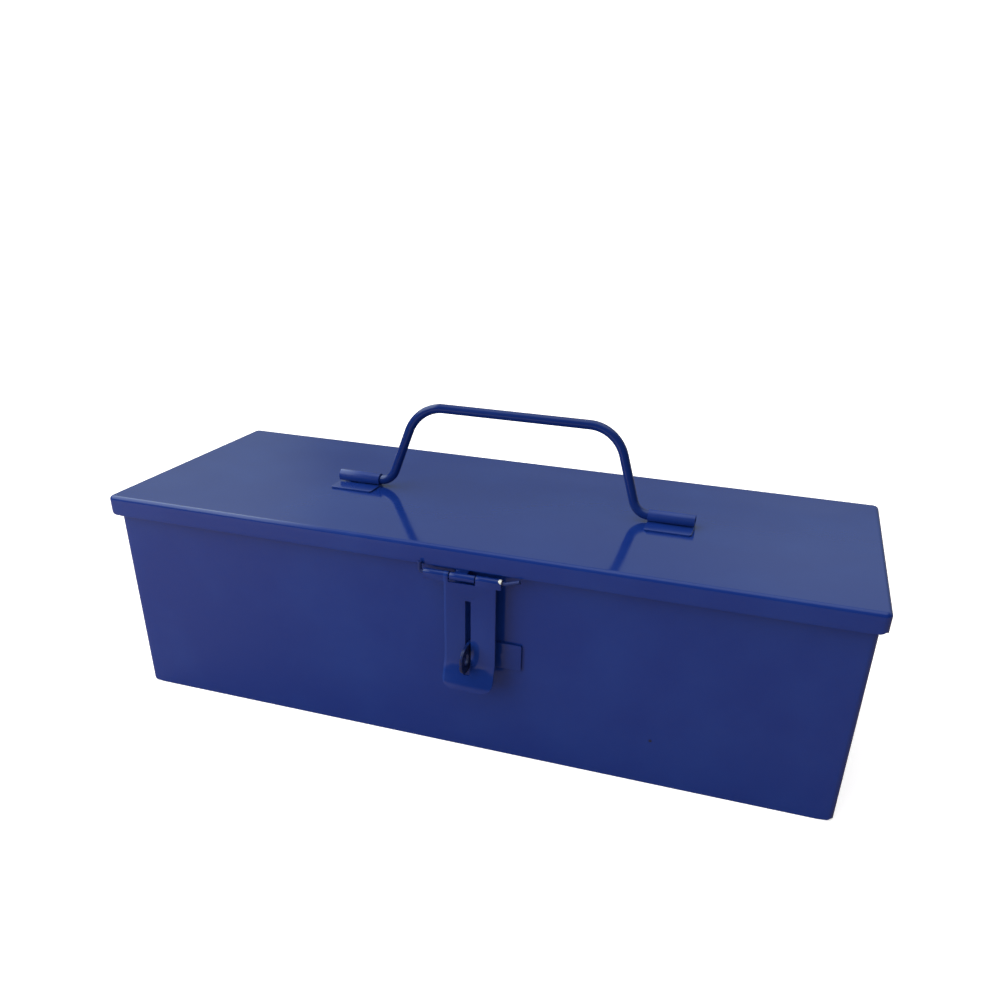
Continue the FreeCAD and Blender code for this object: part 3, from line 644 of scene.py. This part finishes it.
def wall_move():
    """How the walls dish between corners, rim, floor and fittings, and groove at the rear seam."""
    sheet = bpy.context.scene.toolbox_sheet
    low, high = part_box("body_wall")
    flange_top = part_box("body_floor")[1].z
    staple = centre_of("staple_bracket")
    leaves = [centre_of(leaf) for leaf in ("hinge_left_body_leaf", "hinge_right_body_leaf")]
    held = {-1: [(staple.x, staple.z)], 1: [(leaf.x, leaf.z) for leaf in leaves]}

    def move(point):
        inward_x = high.x - abs(point.x)
        inward_y = high.y - abs(point.y)
        long_side = inward_y < inward_x
        along, across = (point.x, high.x) if long_side else (point.y, high.y)
        depth = ease(across - abs(along) - sheet.wall_corner, width=25 * MM)
        depth *= ease(point.z - 3 * MM, width=20 * MM)
        depth *= ease(high.z - sheet.fold_depth - point.z, width=15 * MM)
        side = 1 if point.y > 0 else -1
        if long_side:
            depth *= away_from(held[side], point.x, point.z, clear=17 * MM, width=30 * MM)
        if long_side and side == 1:
            depth *= ease(abs(point.x) - sheet.lap_width / 2, width=30 * MM)
            on_seam = max(abs(point.x - sheet.lap_width / 2), inward_y) < 0.05 * MM
            if on_seam:
                point.y -= sheet.seam_groove
        shift = sheet.wave_depth * depth * dish(along, point.z, "front" if side < 0 else "rear")
        if long_side:
            point.y -= side * shift
        else:
            point.x -= math.copysign(shift, point.x)
        point.z += corner_rise(point, high, low.z, flange_top - low.z)
        return point
    return move


def wall_mesh(name):
    """Four walls in one strip whose rim is folded inwards."""
    sheet = bpy.context.scene.toolbox_sheet
    low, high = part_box("body_wall")
    thick = sheet.thickness
    half_x = high.x - 2 * thick
    half_y = high.y - 2 * thick
    seam = sheet.lap_width / 2
    groove_half = 0.2 * MM
    shell = SheetShell(half_x, half_y, sheet.wall_corner - 2 * thick,
                       extra_x=(seam - groove_half, seam, seam + groove_half))
    small = sheet.cut_edge
    fold_foot = high.z - sheet.fold_depth
    slit = 0.1 * MM
    slit_depth = 0.6 * MM
    rim_turn = [math.pi * i / (2 * sheet.bend_cells) for i in range(2 * sheet.bend_cells + 1)]
    profile = [(2 * thick - small, low.z), (2 * thick, low.z + small)]
    profile += [(2 * thick, z) for z in steps(low.z + small, high.z - thick, sheet.cell * 1.5)[:-1]]
    profile += [(thick + thick * math.cos(a), high.z - thick + thick * math.sin(a)) for a in rim_turn]
    profile += [(0, z) for z in steps(high.z - thick, fold_foot + small, sheet.cell)]
    profile += [(small, fold_foot), (thick - slit, fold_foot), (thick - slit, fold_foot + slit_depth)]
    profile += [(thick, fold_foot + slit_depth)]
    profile += [(thick, z) for z in steps(fold_foot + slit_depth, low.z + small, sheet.cell * 1.5)]
    profile += [(thick + small, low.z)]
    loops = [shell.loop(offset, z) for offset, z in profile]
    for first, second in zip(loops, loops[1:] + loops[:1]):
        shell.bridge(first, second)
    return shell.finish(name, wall_move())


def eased_block(low, high, radius):
    """A BMesh of a strip of sheet with eased edges."""
    block = bmesh.new()
    bmesh.ops.create_cube(block, size=1)
    size = Vector(high) - Vector(low)
    middle = (Vector(high) + Vector(low)) / 2
    for point in block.verts:
        point.co = Vector(a * b for a, b in zip(point.co, size)) + middle
    bmesh.ops.bevel(block, geom=block.edges[:], offset=radius, segments=2, affect="EDGES", profile=0.5)
    return block


def join_pieces(pieces, name):
    """Several pieces as one."""
    joined = bmesh.new()
    for piece in pieces:
        joined.from_mesh(piece.data)
    mesh = mesh_from(joined, name)
    material = pieces[0].data.materials[0]
    for piece in pieces:
        bpy.data.objects.remove(piece)
    smooth(mesh)
    return new_piece(name, mesh, material)


def eased_copy(node, name, material):
    """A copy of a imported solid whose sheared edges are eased, standing for the node."""
    fitting = bpy.context.scene.toolbox_fitting
    source = frame["nodes"][node]
    work = bmesh.new()
    work.from_mesh(source.data)
    bmesh.ops.remove_doubles(work, verts=work.verts, dist=0.002 * MM)
    bmesh.ops.dissolve_limit(work, angle_limit=math.radians(1.0), verts=work.verts, edges=work.edges)
    piece = new_piece(name, mesh_from(work, name), material)
    bevel = piece.modifiers.new("Eased edges", "BEVEL")
    bevel.width = fitting.edge_round
    bevel.segments = fitting.edge_segments
    bevel.limit_method = "ANGLE"
    bevel.angle_limit = math.radians(40)
    bevel.use_clamp_overlap = True
    mesh = finished_mesh(piece, name)
    piece.modifiers.clear()
    piece.data = mesh
    smooth(mesh, sharp_above=40)
    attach(piece, source["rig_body"])
    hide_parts(node)
    return piece


# Geometry Nodes

def end_tree(tree, shape, material):
    """End a tree in real geometry with a material."""
    realized = add_node(tree, "GeometryNodeRealizeInstances", {0: shape}).outputs[0]
    dressed = add_node(tree, "GeometryNodeSetMaterial", {"Geometry": realized, "Material": material})
    add_node(tree, "NodeGroupOutput", {0: dressed.outputs[0]})
    return tree


def rod_tree(material):
    """Tree: a round rod swept along a corner path whose inner corners are bent."""
    tree, given = new_tree("GeometryNodeTree", "Bent rod", {
        "Geometry": "Geometry", "Rod Radius": "Float", "Low Bend": "Float", "High Bend": "Float",
        "Divide": "Float",
    }, {"Geometry": "Geometry"})
    rise = parts_of(tree, tree.nodes.new("GeometryNodeInputPosition").outputs[0])["Z"]
    above = add_node(tree, "FunctionNodeCompare", {0: rise, 1: given["Divide"]},
                     data_type="FLOAT", operation="GREATER_THAN").outputs[0]
    bend = add_node(tree, "GeometryNodeSwitch", {
        "Switch": above, "False": given["Low Bend"], "True": given["High Bend"],
    }, input_type="FLOAT").outputs[0]
    path = add_node(tree, "GeometryNodeFilletCurve", {
        "Curve": given["Geometry"], "Radius": bend, "Count": 16}, mode="POLY").outputs[0]
    ring = add_node(tree, "GeometryNodeCurvePrimitiveCircle", {
        "Resolution": 40, "Radius": given["Rod Radius"]}).outputs[0]
    rod = add_node(tree, "GeometryNodeCurveToMesh", {
        "Curve": path, "Profile Curve": ring, "Fill Caps": True}).outputs[0]
    return end_tree(tree, rod, material)


def weld_tree(mark, material):
    """Tree: a row of spot weld marks from one place to another."""
    tree, given = new_tree("GeometryNodeTree", "Weld row", {
        "Start": "Vector", "End": "Vector", "Facing": "Vector", "Count": "Int",
    }, {"Geometry": "Geometry"})
    row = add_node(tree, "GeometryNodeMeshLine", {
        "Count": given["Count"], "Start Location": given["Start"], "Offset": given["End"],
    }, mode="END_POINTS").outputs[0]
    turn = add_node(tree, "FunctionNodeAlignRotationToVector", {"Vector": given["Facing"]},
                    axis="Z").outputs[0]
    source = add_node(tree, "GeometryNodeObjectInfo", {"Object": mark}).outputs["Geometry"]
    marks = add_node(tree, "GeometryNodeInstanceOnPoints", {
        "Points": row, "Instance": source, "Rotation": turn}).outputs[0]
    return end_tree(tree, marks, material)


def grown(name, tree, values, base=None):
    """A plain mesh piece from a Geometry Nodes tree and its input values."""
    piece = base or bpy.data.objects.new(name, bpy.data.meshes.new(name))
    bpy.context.scene.collection.objects.link(piece)
    modifier = piece.modifiers.new("Grown", "NODES")
    modifier.node_group = tree
    sockets = {item.name: item.identifier for item in tree.interface.items_tree if item.in_out == "INPUT"}
    for label, value in values.items():
        modifier[sockets[label]] = value
    mesh = finished_mesh(piece, name)
    material = [item for item in mesh.materials if item is not None][0]
    bpy.data.objects.remove(piece)
    smooth(mesh, sharp_above=40)
    return new_piece(name, mesh, material)


def weld_mark():
    """A spot weld's mark: a shallow dimple inside a low ring, sunk a little into the sheet.

    The profile is given in parts of the mark's radius and of the ring's height.
    """
    fitting = bpy.context.scene.toolbox_fitting
    radius, height = fitting.weld_radius, fitting.weld_height
    dimple = [(0.45, 0.25), (0.62, 0.45)]
    ring = [(0.74, 0.85), (0.84, 1.0), (0.93, 0.8)]
    skirt = [(1.0, 0.2), (1.06, -0.6)]
    profile = [(radius * reach, height * rise) for reach, rise in dimple + ring + skirt]
    mark, rings = turned_form(profile, count=20)
    mark.faces.new(rings[0])
    mark.faces.new(list(reversed(rings[-1])))
    bmesh.ops.recalc_face_normals(mark, faces=mark.faces)
    return bpy.data.objects.new("weld_mark", mesh_from(mark, "weld_mark"))


# Places of small marks, and how far spot welds stay from the ends and edges of their sheets

SPECK_ALONG = 103.7 * MM
SPECK_HEIGHT = 26.5 * MM
SPECK_RADIUS = 0.9 * MM
# Chip at the right end of the strap's head, painted pale as a glint.
GLINT_CHIP_FROM_HEAD = Vector((-0.2, -1.2, 1.6)) * MM
GLINT_CHIP_RADIUS = 1.4 * MM
# Radius of the painted shade that darkens the staple's lug round its padlock hole.
LUG_SHADE_RADIUS = 8 * MM
LAP_GAP = 0.3 * MM
LEAF_WELD_REACH = 13 * MM
LEAF_WELD_RISE = 7 * MM
LEAF_THICKNESS = 1 * MM
SEAM_WELD_RISE = 10 * MM
SEAM_WELD_DROP = 8 * MM
FLANGE_WELD_DROP = 4 * MM
FLANGE_WELD_END = 28 * MM
FLANGE_WELD_SIDE_END = 22 * MM


# Operators

class TOOLBOX_OT_stage(bpy.types.Operator):
    """Camera, pale floor with its curved backdrop, and soft lights"""

    bl_idname = "toolbox.stage"
    bl_label = "Set the stage"

    def execute(self, context):
        stage = context.scene.toolbox_stage
        context.scene.view_settings.view_transform = "Standard"
        self.add_camera(context.scene, stage)
        self.add_floor(stage)
        self.add_lights(context.scene, stage)
        return {"FINISHED"}

    def add_camera(self, scene, stage):
        data = bpy.data.cameras.new("photo_view")
        data.lens = stage.focal
        data.sensor_width = 36
        data.sensor_fit = "HORIZONTAL"
        data.shift_x = stage.shift_across
        data.shift_y = stage.shift_up
        data.clip_start = 0.01
        camera = bpy.data.objects.new("photo_view", data)
        turn = Matrix.Rotation(stage.heading, 4, "Z")
        turn @= Matrix.Rotation(math.pi / 2 - stage.dip, 4, "X")
        turn @= Matrix.Rotation(stage.roll, 4, "Z")
        camera.matrix_world = Matrix.Translation(stage.eye) @ turn
        scene.collection.objects.link(camera)
        scene.camera = camera

    def add_floor(self, stage):
        paper = studio_material("studio_paper", stage.floor_glow)
        glow = studio_material("studio_glow", stage.backdrop_glow)
        radius = stage.floor_radius
        sweep = stage.backdrop_sweep
        turn = [math.pi / 2 * i / 12 for i in range(13)]
        bend = [(radius + sweep * math.sin(a), sweep * (1 - math.cos(a))) for a in turn]
        floor = self.turned("studio_floor", [(radius, 0.0)], paper, filled=True)
        wall = bend + [(radius + sweep, stage.backdrop_height)]
        backdrop = self.turned("studio_backdrop", wall, glow)
        backdrop.visible_glossy = False
        backdrop.visible_diffuse = False
        backdrop.visible_shadow = False

    def turned(self, name, profile, material, filled=False):
        """A form turned about the upright axis, facing inwards, open or filled in the middle."""
        form, rings = turned_form(profile, count=96)
        if filled:
            form.faces.new(rings[0])
        mesh = mesh_from(form, name)
        mesh.shade_smooth()
        return new_piece(name, mesh, material)

    def add_lights(self, scene, stage):
        sun = bpy.data.lights.new("overhead", "SUN")
        sun.energy = stage.overhead_strength
        sun.angle = stage.overhead_angle
        self.add_lamp(scene, sun, place=(-0.35, -0.10, 1.0), aim=(0, 0, 0))
        side = bpy.data.lights.new("side", "AREA")
        side.shape = "DISK"
        side.size = 0.6
        side.energy = stage.side_power
        self.add_lamp(scene, side, place=(-0.50, -0.60, 0.28), aim=(-0.1, -0.07, 0.06))
        world = bpy.data.worlds.new("studio")
        world.use_nodes = True
        scene.world = world
        tree = world.node_tree
        way = parts_of(tree, place_in(tree, "Generated"))
        lighting = math_node(tree, "MULTIPLY", way["X"], -stage.sky_bias * stage.sky_light)
        lighting = math_node(tree, "ADD", lighting, stage.sky_light)
        glossy = tree.nodes.new("ShaderNodeLightPath").outputs["Is Glossy Ray"]
        mirrored = self.mirrored_sky(tree, way, stage)
        strength = add_node(tree, "ShaderNodeMix", {
            "Factor": glossy, "A": lighting, "B": mirrored}).outputs["Result"]
        colour = mix_colours(tree, glossy, (1, 1, 1, 1), (*stage.mirrored_tint, 1))
        set_inputs(tree, tree.nodes["Background"], {"Strength": strength, "Color": colour})

    def mirrored_sky(self, tree, way, stage):
        """Brightness of the sky that the enamel mirrors, by the X, Y and Z of the way to it."""
        dim_front = map_range(tree, way["Y"], over=(0.0, 0.6), to=(0.12, 1.0))
        sky = map_range(tree, way["Z"], over=(0.24, 0.40), to=(stage.low_sky, stage.mid_sky))
        sky = math_node(tree, "MULTIPLY", sky, dim_front)
        from_middle = self.apart(tree, way["X"], middle=-0.30)
        dim_middle = map_range(tree, from_middle, over=(0.0, 0.12), to=(0.90, 1.12))
        sky = math_node(tree, "MULTIPLY", sky, dim_middle)
        from_patch = self.apart(tree, way["X"], middle=-0.58)
        patch = map_range(tree, from_patch, over=(0.0, 0.015), to=(stage.patch, 0.0))
        window = map_range(tree, way["X"], over=(-0.45, -0.56), to=(0.0, stage.window))
        window_foot = map_range(tree, way["Z"], over=(0.35, 0.60), to=(0.0, 1.0))
        window = math_node(tree, "MULTIPLY", window, window_foot)
        zenith = map_range(tree, way["Z"], over=(0.78, 0.97), to=(0.0, stage.zenith))
        for light in (patch, window, zenith):
            sky = math_node(tree, "ADD", sky, light)
        return sky

    def apart(self, tree, value, middle):
        """Square of how far a value is from a middle."""
        return math_node(tree, "POWER", math_node(tree, "SUBTRACT", value, middle), 2.0)

    def add_lamp(self, scene, data, place, aim):
        lamp = bpy.data.objects.new(data.name, data)
        turn = (Vector(aim) - Vector(place)).to_track_quat("-Z", "Y")
        lamp.matrix_world = Matrix.Translation(place) @ turn.to_matrix().to_4x4()
        lamp.visible_glossy = False
        scene.collection.objects.link(lamp)


class TOOLBOX_OT_body(bpy.types.Operator):
    """Walls with their folded rim and seam, and the floor pan"""

    bl_idname = "toolbox.body"
    bl_label = "Fold the body"

    def execute(self, context):
        sheet = context.scene.toolbox_sheet
        wall_low, wall_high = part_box("body_wall")
        flange_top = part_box("body_floor")[1].z
        speck = Vector((SPECK_ALONG, wall_low.y, SPECK_HEIGHT))
        enamel = enamel_material("body_enamel", specks=[(speck, SPECK_RADIUS)])
        walls = new_piece("box_walls", wall_mesh("box_walls"), enamel)
        face = wall_high.y - sheet.thickness
        half_lap = sheet.lap_width / 2
        lap = eased_block((-half_lap, face - sheet.thickness, flange_top + LAP_GAP),
                          (half_lap, face, wall_high.z - sheet.fold_depth), sheet.cut_edge)
        walls = join_pieces([walls, new_piece("lap", mesh_from(lap, "lap"), enamel)], "box_walls")
        pan = pan_mesh("box_floor", "body_floor", sheet.wall_corner - sheet.thickness,
                       sheet.floor_bend, turned_up=True, move=floor_move())
        floor = new_piece("box_floor", pan, enamel)
        for piece, node in ((walls, "body_wall"), (floor, "body_floor")):
            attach(piece, "box")
            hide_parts(node)
        return {"FINISHED"}


class TOOLBOX_OT_lid(bpy.types.Operator):
    """Lid pan with its bent lip"""

    bl_idname = "toolbox.lid"
    bl_label = "Press the lid"

    def execute(self, context):
        sheet = context.scene.toolbox_sheet
        mesh = pan_mesh("box_lid", "lid_pan", sheet.lid_corner, sheet.lid_bend,
                        turned_up=False, move=lid_move())
        lid = new_piece("box_lid", mesh, enamel_material("lid_enamel"))
        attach(lid, "lid")
        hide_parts("lid_pan")
        return {"FINISHED"}


class TOOLBOX_OT_handle(bpy.types.Operator):
    """Bent rod handle"""

    bl_idname = "toolbox.handle"
    bl_label = "Bend the handle"

    def execute(self, context):
        fitting = context.scene.toolbox_fitting
        low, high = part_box("carry_handle")
        axis = named(frame["joints"], "handle_hinge")
        middle = (low.x + high.x) / 2
        half = (high.x - low.x) / 2
        rise = Vector((0, high.y - fitting.rod_radius - axis.y, high.z - fitting.rod_radius - axis.z))
        corners = [(-half, 0), (-fitting.heel_half_span, 0), (-fitting.grip_half_span, 1),
                   (fitting.grip_half_span, 1), (fitting.heel_half_span, 0), (half, 0)]
        line = bpy.data.curves.new("handle_line", "CURVE")
        line.dimensions = "3D"
        spline = line.splines.new("POLY")
        spline.points.add(len(corners) - 1)
        for point, (across, up) in zip(spline.points, corners):
            point.co = (middle + across, axis.y + up * rise.y, axis.z + up * rise.z, 1)
        # The handle's enamel is darkened as painted shade.
        shade = context.scene.toolbox_enamel.rod_painted_shade
        tree = rod_tree(enamel_material("handle_enamel", shade=shade))
        handle = grown("rod_handle", tree, {
            "Rod Radius": fitting.rod_radius,
            "Low Bend": fitting.heel_bend,
            "High Bend": fitting.grip_bend,
            "Divide": axis.z + rise.z / 2,
        }, base=bpy.data.objects.new("rod_handle", line))
        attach(handle, "handle")
        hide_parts("carry_handle")
        return {"FINISHED"}


class TOOLBOX_OT_fittings(bpy.types.Operator):
    """Clips, hasp, staple and hinges with eased edges, and enamelled pins"""

    bl_idname = "toolbox.fittings"
    bl_label = "Ease the fittings"

    def execute(self, context):
        fitting = context.scene.toolbox_fitting
        strap_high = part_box("hasp_strap")[1]
        axis = named(frame["joints"], "strap_hinge")
        # Chipped spot on the strap's head, painted pale as a glint.
        bare = Vector((strap_high.x, axis.y, axis.z)) + GLINT_CHIP_FROM_HEAD
        # Shades below 1 darken the leaves', strap's, wire's and staple's enamel as painted shade.
        strip = enamel_material("strip_enamel", shade=0.92)
        clip = enamel_material("clip_enamel", rough=0.12)
        shank_left = strap_high.x - fitting.shank_inset - fitting.shank_width
        # Half width of the painted highlight along the strap's left edge.
        rim = fitting.highlight_strip_width / 2
        chipped = enamel_material("strap_enamel", chips=[(bare, GLINT_CHIP_RADIUS)], shade=0.88,
                                  rim=(shank_left + rim, rim))
        wire = enamel_material("wire_enamel", rough=0.35, shade=0.7)
        hole = named(frame["record"]["mounts"], "padlock_hole")
        # The staple's lug is darkened round its hole as painted shade.
        staple = enamel_material("staple_enamel", shade=0.92, specks=[(hole, LUG_SHADE_RADIUS)])
        for node in frame["nodes"]:
            if node == "hasp_strap":
                eased_copy(node, "strap", chipped)
            elif node.startswith("handle_clip"):
                eased_copy(node, node.replace("handle_", ""), clip)
            elif node == "staple_bracket":
                eased_copy(node, "staple", staple)
            elif node.endswith("_leaf"):
                eased_copy(node, node + "_eased", strip)
            elif node.endswith("_pin"):
                pin = frame["nodes"][node]
                pin.data.materials.clear()
                pin.data.materials.append(wire)
        return {"FINISHED"}


class TOOLBOX_OT_welds(bpy.types.Operator):
    """Rows of spot weld marks on the rear leaves, the seam and the floor's flange"""

    bl_idname = "toolbox.welds"
    bl_label = "Mark the spot welds"

    def execute(self, context):
        sheet = context.scene.toolbox_sheet
        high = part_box("body_wall")[1]
        flange_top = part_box("body_floor")[1].z
        mark = weld_mark()
        tree = weld_tree(mark, enamel_material("weld_enamel"))
        inward = 2 * sheet.thickness
        rows = []
        for node in ("hinge_left_body_leaf", "hinge_right_body_leaf"):
            middle = centre_of(node).x
            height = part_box(node)[0].z + LEAF_WELD_RISE
            face = high.y + LEAF_THICKNESS
            rows.append(((middle - LEAF_WELD_REACH, face, height),
                         (middle + LEAF_WELD_REACH, face, height), (0, 1, 0), 3))
        foot = flange_top + SEAM_WELD_RISE
        head = high.z - sheet.fold_depth - SEAM_WELD_DROP
        for face, way in ((high.y, 1), (high.y - inward, -1)):
            rows.append(((0, face, foot), (0, face, head), (0, way, 0), 6))
        level = flange_top - FLANGE_WELD_DROP
        for side in (-1, 1):
            face = side * (high.y - inward)
            reach = high.x - FLANGE_WELD_END
            rows.append(((-reach, face, level), (reach, face, level), (0, -side, 0), 9))
            face = side * (high.x - inward)
            reach = high.y - FLANGE_WELD_SIDE_END
            rows.append(((face, -reach, level), (face, reach, level), (-side, 0, 0), 3))
        pieces = []
        for start, end, facing, count in rows:
            pieces.append(grown("weld_row", tree, {
                "Start": Vector(start), "End": Vector(end), "Facing": Vector(facing), "Count": count}))
        welds = join_pieces(pieces, "spot_welds")
        bpy.data.objects.remove(mark)
        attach(welds, "box")
        return {"FINISHED"}


class TOOLBOX_PT_panel(bpy.types.Panel):
    """Lists the toolbox's steps"""

    bl_label = "Toolbox"
    bl_space_type = "VIEW_3D"
    bl_region_type = "UI"
    bl_category = "Toolbox"

    def draw(self, context):
        for step in STEPS:
            self.layout.operator(step.bl_idname)


SETTINGS = {
    "toolbox_sheet": SheetSettings,
    "toolbox_fitting": FittingSettings,
    "toolbox_enamel": EnamelSettings,
    "toolbox_stage": StageSettings,
}
STEPS = (
    TOOLBOX_OT_stage,
    TOOLBOX_OT_body,
    TOOLBOX_OT_lid,
    TOOLBOX_OT_handle,
    TOOLBOX_OT_fittings,
    TOOLBOX_OT_welds,
)


def register():
    """Add the classes and the scene's settings."""
    for settings in SETTINGS.values():
        bpy.utils.register_class(settings)
    for step in (*STEPS, TOOLBOX_PT_panel):
        bpy.utils.register_class(step)
    for name, settings in SETTINGS.items():
        setattr(bpy.types.Scene, name, PointerProperty(type=settings))


def unregister():
    """Take them away again."""
    for name in SETTINGS:
        delattr(bpy.types.Scene, name)
    for step in (TOOLBOX_PT_panel, *reversed(STEPS)):
        bpy.utils.unregister_class(step)
    for settings in SETTINGS.values():
        bpy.utils.unregister_class(settings)


def main():
    """Dress the toolbox."""
    register()
    bpy.ops.toolbox.stage()
    bpy.ops.toolbox.body()
    bpy.ops.toolbox.lid()
    bpy.ops.toolbox.handle()
    bpy.ops.toolbox.fittings()
    bpy.ops.toolbox.welds()


if __name__ == "__main__":
    main()
